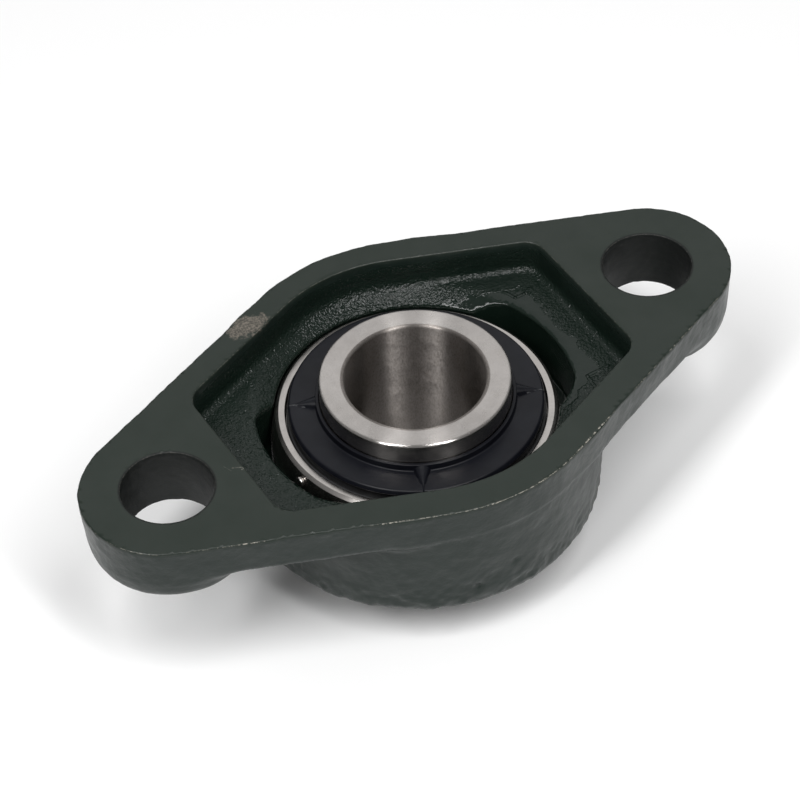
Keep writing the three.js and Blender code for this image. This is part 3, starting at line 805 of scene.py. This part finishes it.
# ---- mesh helpers ----
def new_object(name, vertices, faces, material):
    """A mesh object from millimetre vertices, shaded smooth."""
    mesh = bpy.data.meshes.new(name)
    mesh.from_pydata((np.asarray(vertices, float) * MM).tolist(), [], [list(f) for f in faces])
    mesh.materials.append(material)
    mesh.shade_smooth()
    mesh.update()
    piece = bpy.data.objects.new(name, mesh)
    bpy.context.scene.collection.objects.link(piece)
    return piece


def rounded(profile, radius, steps=4, closed=True):
    """The [radius, height] polygon with its corners rounded; a third value sets a corner's own radius."""
    count = len(profile)
    result = []
    for i, corner in enumerate(profile):
        here = np.array(corner[:2], float)
        if not closed and i in (0, count - 1):
            result.append(here)
            continue
        before = np.array(profile[i - 1][:2], float)
        after = np.array(profile[(i + 1) % count][:2], float)
        own = corner[2] if len(corner) > 2 else radius
        a, b = before - here, after - here
        la, lb = np.linalg.norm(a), np.linalg.norm(b)
        a, b = a / la, b / lb
        half = math.acos(np.clip(a @ b, -1, 1)) / 2
        if own <= 0 or half > math.radians(88):
            result.append(here)
            continue
        reach = min(own / math.tan(half), 0.45 * la, 0.45 * lb)
        for s in range(steps + 1):
            t = s / steps
            start, end = here + a * reach, here + b * reach
            result.append((1 - t) ** 2 * start + 2 * t * (1 - t) * here + t * t * end)
    return result


def arc(centre_r, centre_z, radius, start, end, steps):
    angles = np.linspace(start, end, steps + 1)
    return [(centre_r + radius * math.cos(a), centre_z + radius * math.sin(a), 0) for a in angles]


def even_angles(count):
    return np.arange(count) * TURN / count


def turned(name, profile, material, angles=192, closed=True, shape=None, sharp=35):
    """A body turned about Z; shape may move the points, given as arrays of radius, height and angle."""
    angles = even_angles(angles) if isinstance(angles, int) else np.asarray(angles)
    profile = np.array([point[:2] for point in profile], float)
    rows, columns = len(profile), len(angles)
    r, a = np.meshgrid(profile[:, 0], angles, indexing="ij")
    z = np.repeat(profile[:, 1], columns).reshape(rows, columns)
    if shape is not None:
        r, z = shape(r, z, a)
    vertices = np.stack([r * np.cos(a), r * np.sin(a), z], -1).reshape(-1, 3)
    faces = []
    for i in range(rows if closed else rows - 1):
        j = (i + 1) % rows
        for k in range(columns):
            m = (k + 1) % columns
            faces.append((i * columns + k, i * columns + m, j * columns + m, j * columns + k))
    piece = new_object(name, vertices, faces, material)
    clean(piece, sharp)
    return piece


def clean(piece, sharp=35):
    """Merges doubled points, turns the faces outwards and marks the sharp edges."""
    work = bmesh.new()
    work.from_mesh(piece.data)
    bmesh.ops.remove_doubles(work, verts=work.verts, dist=1e-6)
    bmesh.ops.dissolve_degenerate(work, edges=work.edges, dist=1e-7)
    bmesh.ops.recalc_face_normals(work, faces=work.faces)
    work.to_mesh(piece.data)
    work.free()
    piece.data.shade_smooth()
    piece.data.set_sharp_from_angle(angle=math.radians(sharp))
    piece.data.update()


def carve(piece, cutter):
    """Cuts a closed cutter out of a piece and removes the cutter."""
    modifier = piece.modifiers.new("cut", "BOOLEAN")
    modifier.operation = "DIFFERENCE"
    modifier.solver = "EXACT"
    modifier.object = cutter
    bpy.context.view_layer.update()
    graph = bpy.context.evaluated_depsgraph_get()
    result = bpy.data.meshes.new_from_object(piece.evaluated_get(graph))
    piece.modifiers.clear()
    piece.data = result
    bpy.data.objects.remove(cutter)
    clean(piece)


def point_along(piece, start, direction):
    """Moves a piece made along +Z so that it starts at a point and follows a direction."""
    turn = Vector(direction).to_track_quat("Z", "Y").to_matrix().to_4x4()
    piece.data.transform(Matrix.Translation(Vector(start) * MM) @ turn)
    return piece


def lift(piece, height):
    piece.data.transform(Matrix.Translation((0, 0, height * MM)))
    return piece


def mirrored(piece):
    """Turns a piece made for the back end into the front end's, about the seat's middle plane."""
    piece.data.transform(Matrix.Diagonal((1, 1, -1, 1)))
    piece.data.flip_normals()
    return piece


def settle(piece, body, slot, *nodes):
    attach(piece, body)
    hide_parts(*nodes)
    return piece


# ---- housing ----
def add_attribute(mesh, name, values):
    layer = mesh.attributes.new(name, "FLOAT", "POINT")
    layer.data.foreach_set("value", np.asarray(values, np.float32))


def housing_distances(p):
    """Distances from the mounting face's outline, the recess's outline and the bolt holes."""
    x, y = p[:, 0], p[:, 1]
    return {
        "outline": flange_outline(x, y, HUB_R, TIP_R),
        "recess": recess_outline(x, y),
        "bolt_hole": bolt_distance(x, y) - BOLT_HOLE_R,
    }


def refined(vertices, quads, field, near):
    """Splits the quads that touch the vertices picked out by near, and draws the new points on."""
    work = bmesh.new()
    made = [work.verts.new(v) for v in vertices]
    for quad in quads:
        if len(set(quad)) == 4:
            work.faces.new([made[i] for i in quad])
    work.edges.ensure_lookup_table()
    work.verts.index_update()
    picked = [edge for edge in work.edges if near[edge.verts[0].index] and near[edge.verts[1].index]]
    bmesh.ops.subdivide_edges(work, edges=picked, cuts=1, use_grid_fill=True)
    work.verts.index_update()
    points = np.array([v.co for v in work.verts])
    faces = [[v.index for v in face.verts] for face in work.faces]
    work.free()
    return drawn_on(field, points, 0.3), faces


def near_edges(p):
    """True within a millimetre of the mounting face's edges."""
    depth = FACE - p[:, 2]
    distances = housing_distances(p)
    closest = np.minimum(np.abs(distances["outline"]), np.abs(distances["recess"]))
    closest = np.minimum(closest, np.abs(distances["bolt_hole"]))
    return np.hypot(closest, depth) < 1.0


def make_housing(material):
    low, high = HOUSING_LOW - 1.5, HOUSING_HIGH + 1.5
    vertices, faces = contoured(housing_field, low, high, 0.64)
    vertices, faces = refined(vertices, faces, housing_field, near_edges(vertices))
    piece = new_object("housing_cast", vertices, faces, material)
    normals = gradient(housing_field, vertices, 0.1)
    normals /= np.linalg.norm(normals, axis=1, keepdims=True)
    piece.data.normals_split_custom_set_from_vertices(normals.tolist())
    for name, values in housing_distances(vertices).items():
        add_attribute(piece.data, name, values)
    return settle(piece, "housing", "housing_paint", "housing")


# ---- bearing rings ----
def make_outer_ring(material):
    chamfer = 0.5
    sphere_end = math.asin((OUTER_HALF - chamfer) / OUTER_R)
    floor = OUTER_HALF - 1.9
    centre = PITCH_R + BALL_R + BALL_PLAY - GROOVE_R
    groove_end = math.acos((OUTER_LAND_R - centre) / GROOVE_R)
    profile = rounded([
        *arc(0, 0, OUTER_R, -sphere_end, sphere_end, 40),
        (24.43, OUTER_HALF, 0.15),
        (COUNTERBORE_R, OUTER_HALF, 0.15),
        (COUNTERBORE_R, floor, 0.1),
        (OUTER_LAND_R, floor, 0.2),
        *arc(centre, 0, GROOVE_R, groove_end, -groove_end, 24),
        (OUTER_LAND_R, -floor, 0.2),
        (COUNTERBORE_R, -floor, 0.1),
        (COUNTERBORE_R, -OUTER_HALF, 0.15),
        (24.43, -OUTER_HALF, 0.15),
    ], 0.1)
    piece = lift(turned("ring_outer", profile, material, 256, sharp=50), MIDDLE)
    for direction, bottom, radius in ((PIN_DIRECTION, 24.2, 1.1), (GREASE_DIRECTION, 20, 0.8)):
        hole = [(0, bottom), (radius, bottom), (radius, 28), (0, 28)]
        cutter = turned("cutter", hole, material, 32, closed=False)
        carve(piece, point_along(cutter, (0, 0, MIDDLE), direction))
    return settle(piece, "outer", "bearing_steel", "outer_ring")


def make_inner_ring(material):
    centre = PITCH_R - BALL_R - BALL_PLAY + GROOVE_R
    groove_end = math.acos((centre - INNER_R) / GROOVE_R)
    profile = rounded([
        (BORE_R, 0, 0.6),
        (INNER_R, 0, 0.7),
        *arc(centre, MIDDLE, GROOVE_R, math.pi + groove_end, math.pi - groove_end, 24),
        (INNER_R, INNER_TOP, 0.7),
        (BORE_R, INNER_TOP, 0.6),
    ], 0.1, 6)
    piece = turned("ring_inner", profile, material, 256, sharp=50)
    for number in SCREWS:
        hole = [(0, 10), (3.0, 10), (3.0, 16.5), (3.6, 17.1), (3.6, 20), (0, 20)]
        cutter = turned("cutter", hole, material, 64, closed=False)
        carve(piece, point_along(cutter, (0, 0, SCREW_HEIGHT), screw_direction(number)))
    return settle(piece, "inner", "bearing_steel", "inner_ring")


def make_stopper_pin(material):
    profile = rounded([(0, 24.5), (0.95, 24.5, 0.15), (0.95, 26.75, 0.7), (0, 26.75)], 0.1, 6, closed=False)
    piece = point_along(turned("pin", profile, material, 48, closed=False), (0, 0, MIDDLE), PIN_DIRECTION)
    return settle(piece, "stop_pin", "bearing_steel", "stopper_pin")


# ---- slingers and seals ----
def split(profile, step):
    """Adds points to a closed profile so that none are further apart than step."""
    result = []
    for i, point in enumerate(profile):
        here, after = np.array(point[:2], float), np.array(profile[(i + 1) % len(profile)][:2], float)
        parts = max(1, math.ceil(np.linalg.norm(after - here) / step))
        result += [here + (after - here) * k / parts for k in range(parts)]
    return result


def rib_angles():
    """Turning angles, closer together at the four stamped ribs."""
    coarse = np.radians(np.arange(0, 90, 1.5))
    fine = np.radians(np.arange(-6.0, 6.01, 0.4))
    quarter = np.concatenate([fine, coarse[(coarse > np.radians(6.5)) & (coarse < np.radians(83.5))]])
    start = math.radians(RIB_ANGLE)
    return np.concatenate([start + quarter + k * TURN / 4 for k in range(4)])


def stamped(r, z, a):
    """Raises the four half-cone ribs that brace the slinger's disc against its collar."""
    turn = (a - math.radians(RIB_ANGLE) + TURN / 8) % (TURN / 4) - TURN / 8
    across = r * np.sin(turn)
    reach = np.clip((RIB_END - r) / (RIB_END - COLLAR_R), 0, 1)
    half = np.maximum(RIB_HALF * reach, 1e-3)
    arch = np.sqrt(np.maximum(1 - (across / half) ** 2, 0))
    foot = np.where(z > SLINGER_DISC - 0.25, SLINGER_DISC, SLINGER_DISC - SHEET)
    raised = foot + RIB_HEIGHT * reach * arch
    inside = r > COLLAR_R - 0.25
    return r, np.where(inside & (arch > 0), np.maximum(z, raised), z)


def make_slinger(material, end):
    under = SLINGER_DISC - 0.62
    profile = rounded([
        (17.15, SLINGER_COLLAR, 0.1),
        (17.15, under + 0.3, 0.1),
        (17.5, under, 0.3),
        (21.9, under - 0.05, 0.3),
        (22.2, under - 0.6, 0.2),
        (22.55, under - 0.65, 0.15),
        (SLINGER_OUT, under - 0.3, 0.2),
        (22.4, SLINGER_DISC - 0.12, 0.5),
        (COLLAR_R, SLINGER_DISC, 0.3),
        (COLLAR_R, SLINGER_COLLAR, 0.15),
    ], 0.2, 4)
    name = f"slinger_sheet_{end}"
    piece = turned(name, split(profile, 0.3), material, rib_angles(), shape=stamped, sharp=40)
    if end == "front":
        mirrored(piece)
    lift(piece, MIDDLE)
    return settle(piece, "inner", "slinger_coat", f"slinger_{end}")


def make_seal(rubber, end):
    insert = rounded([
        (18.6, 5.85), (23.05, 5.85), (23.05, 7.05), (22.6, 7.05),
        (22.2, 6.6), (19.4, 6.5), (18.9, 7.05), (18.6, 7.05),
    ], 0.25, 4)
    lip = rounded([
        (18.45, 5.95), (18.45, 7.2), (18.0, 7.35), (17.2, 7.3), (17.2, 7.05), (17.7, 6.85),
        (17.75, 6.4), (17.2, 6.2), (17.2, 5.95),
    ], 0.12, 4)
    pieces = [
        (turned(f"seal_washer_{end}", insert, rubber, 192), f"seal_insert_{end}"),
        (turned(f"seal_edge_{end}", lip, rubber, 192), f"seal_lip_{end}"),
    ]
    for piece, node in pieces:
        if end == "front":
            mirrored(piece)
        lift(piece, MIDDLE)
        settle(piece, "outer", "seal_rubber", node)


# ---- cage, rivets and balls ----
def pressed_pockets(r, z, a):
    """Lifts a flat ring into ball pockets, keeping its thickness."""
    step = TURN / BALL_COUNT
    turn = (a + step / 2) % step - step / 2
    away = (r * np.sin(turn)) ** 2 + (r * np.cos(turn) - PITCH_R) ** 2
    upper = z > 0.4
    size = BALL_R + np.where(upper, 0.9, 0.3)
    pocket = np.sqrt(np.maximum(size * size - away, 0))
    soft = 0.35
    blend = np.clip((pocket - z) / soft, -1, 1)
    joined = np.maximum(z, pocket) + soft * (1 - np.abs(blend)) ** 2 / 4
    return r, np.where(pocket > 0, joined, z)


def make_cage_half(material, end):
    profile = split(rounded([(18.4, 0.12), (20.6, 0.12), (20.6, 0.72), (18.4, 0.72)], 0.1, 3), 0.25)
    piece = turned(f"cage_sheet_{end}", profile, material, 432, shape=pressed_pockets)
    if end == "front":
        mirrored(piece)
    lift(piece, MIDDLE)
    return settle(piece, "cage", "pressed_steel", f"cage_{end}")


def make_rivets(material):
    profile = rounded([
        (0, -1.47), (0.75, -1.42, 0.3), (1.1, -0.87, 0.15), (0.5, -0.87, 0.05),
        (0.5, 0.87, 0.05), (1.1, 0.87, 0.15), (0.75, 1.42, 0.3), (0, 1.47),
    ], 0.1, 4, closed=False)
    for i in range(BALL_COUNT):
        angle = (i + 0.5) * TURN / BALL_COUNT
        piece = turned(f"cage_rivet_{i + 1}", profile, material, 32, closed=False)
        place = Vector((PITCH_R * math.cos(angle), PITCH_R * math.sin(angle), MIDDLE))
        piece.data.transform(Matrix.Translation(place * MM))
        settle(piece, "cage", "pressed_steel", f"rivet_{i + 1}")


def ball_profile(radius, steps, height=0.0):
    turns = np.linspace(-math.pi / 2, math.pi / 2, steps + 1)
    profile = [(radius * math.cos(t), height + radius * math.sin(t)) for t in turns]
    profile[0], profile[-1] = (0, height - radius), (0, height + radius)
    return profile


def make_balls(material):
    profile = ball_profile(BALL_R, 48)
    for i in range(BALL_COUNT):
        angle = i * TURN / BALL_COUNT
        piece = turned(f"steel_ball_{i + 1}", profile, material, 72, closed=False, sharp=60)
        place = Vector((PITCH_R * math.cos(angle), PITCH_R * math.sin(angle), MIDDLE))
        piece.data.transform(Matrix.Translation(place * MM))
        settle(piece, f"ball_{i + 1}", "bearing_steel", f"ball_{i + 1}")


# ---- set screws and grease nipple ----
def hexagon(a, flat):
    """Radius of a hexagon's side at each angle; flat is half its width across flats."""
    return flat / np.cos((a + TURN / 12) % (TURN / 6) - TURN / 12)


def threaded(pitch, depth, crest, low, high):
    """A shape function that cuts a thread into the wall at radius crest between two heights."""
    def shape(r, z, a):
        phase = (z / pitch - a / TURN) % 1
        groove = depth * (1 - np.abs(2 * phase - 1)) ** 0.8
        fade = smooth_step(z, low, low + 0.4) * (1 - smooth_step(z, high - 0.4, high))
        return np.where(r > crest - 0.02, r - groove * fade, r), z
    return shape


def make_set_screw(material, number):
    length, radius, socket = 5.0, 2.72, 1.58
    wall = [(radius, z) for z in np.linspace(0.6, length - 0.4, 100)]
    profile = [
        (0, 0.75), (1.35, 0.05), (1.55, 0), (radius - 0.6, 0), *wall,
        (radius - 0.4, length), (socket + 0.14, length), (socket, length - 0.15),
        (socket, length - 2.6), (0, length - 3.2),
    ]
    grooved = threaded(0.75, 0.36, radius, 0.5, length - 0.3)

    def shape(r, z, a):
        r, z = grooved(r, z, a)
        return np.where((np.abs(r - socket) < 0.01) & (z > 1), hexagon(a, 1.5), r), z

    piece = turned(f"grub_screw_{number}", profile, material, 96, closed=False, shape=shape, sharp=40)
    direction = screw_direction(number)
    start = direction * 12.9 + Vector((0, 0, SCREW_HEIGHT))
    point_along(piece, start, direction)
    return settle(piece, f"screw_{number}", "screw_steel", f"set_screw_{number}")


def make_grease_nipple(material):
    """The nipple's body, from the end of its thread to the rounded head, with its through passage."""
    hex_low, hex_high, across = 0.25, 2.5, 3.5
    thread = [(2.4, z) for z in np.linspace(-2.5, 0.0, 60)]
    outside = [
        (0.8, -2.9), (2.0, -2.9), *thread, (2.4, hex_low), (3.3, hex_low), (3.9, hex_low + 0.3),
        (3.9, hex_high - 0.3), (3.3, hex_high), (2.45, hex_high), (2.2, 2.8), (2.2, 3.5), (2.35, 3.7),
        (3.0, 4.4), (3.1, 4.6), (3.1, 4.9), (2.95, 5.15), (1.9, 6.7), (1.6, 6.95), (1.3, 7.0), (0.8, 7.0),
    ]
    inside = [(0.8, 6.2), (1.25, 5.5), (1.25, -2.4), (0.8, -2.4)]
    grooved = threaded(0.8, 0.38, 2.4, -2.6, 0.1)

    def shape(r, z, a):
        r, z = grooved(r, z, a)
        flats = np.minimum(r, hexagon(a, across))
        rim = (z > hex_low - 0.01) & (z < hex_high + 0.01) & (r > 3.25)
        return np.where(rim, np.maximum(flats, 3.25), r), z

    piece = turned("nipple_body", outside + inside, material, 144, shape=shape, sharp=35)
    point_along(piece, NIPPLE_SEAT, NIPPLE_AXIS)
    return settle(piece, "housing", "nipple_plate", "grease_nipple")


def make_check_ball(material):
    profile = ball_profile(CHECK_BALL_R, 32, CHECK_BALL_HEIGHT)
    piece = turned("nipple_ball", profile, material, 48, closed=False, sharp=60)
    point_along(piece, NIPPLE_SEAT, NIPPLE_AXIS)
    return settle(piece, "nipple_check", "bearing_steel", "grease_nipple_ball")


def make_nipple_spring(material):
    """The check ball's coil spring."""
    low, high, radius, wire = -2.1, 3.5, 0.85, 0.15
    turns, steps, sides = 5, 32, 12
    t = np.linspace(0, 1, turns * steps + 1)
    a = t * turns * TURN
    b = even_angles(sides)
    r = radius + wire * np.cos(b)
    z = (low + t * (high - low))[:, None] + wire * np.sin(b)
    vertices = np.stack([r * np.cos(a)[:, None], r * np.sin(a)[:, None], z], -1).reshape(-1, 3)
    faces = [list(range(sides)), list(range(len(vertices) - sides, len(vertices)))]
    for i in range(len(t) - 1):
        for k in range(sides):
            m = (k + 1) % sides
            faces.append([i * sides + k, i * sides + m, (i + 1) * sides + m, (i + 1) * sides + k])
    piece = new_object("nipple_coil", vertices, faces, material)
    clean(piece)
    point_along(piece, NIPPLE_SEAT, NIPPLE_AXIS)
    settle(piece, "housing", "bearing_steel", "grease_nipple_spring")
    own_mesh(piece)
    return piece


# ---- build ----
make_camera()
make_light()
make_floor()

PAINT = housing_paint()
RING_STEEL = ground_steel("ground_steel", 1.0, 0.22)
STEEL = ground_steel("polished_steel", 0.5, 0.30)
COAT = slinger_coat()
SHEET_STEEL = pressed_steel()
RUBBER = seal_rubber()
SCREW = screw_steel()
PLATE = nipple_plate()

make_housing(PAINT)
make_outer_ring(STEEL)
make_inner_ring(RING_STEEL)
make_stopper_pin(STEEL)
for END in ("back", "front"):
    make_slinger(COAT, END)
    make_seal(RUBBER, END)
    make_cage_half(SHEET_STEEL, END)
make_rivets(SHEET_STEEL)
make_balls(STEEL)
for NUMBER in SCREWS:
    make_set_screw(SCREW, NUMBER)
make_grease_nipple(PLATE)
make_check_ball(STEEL)
make_nipple_spring(STEEL)
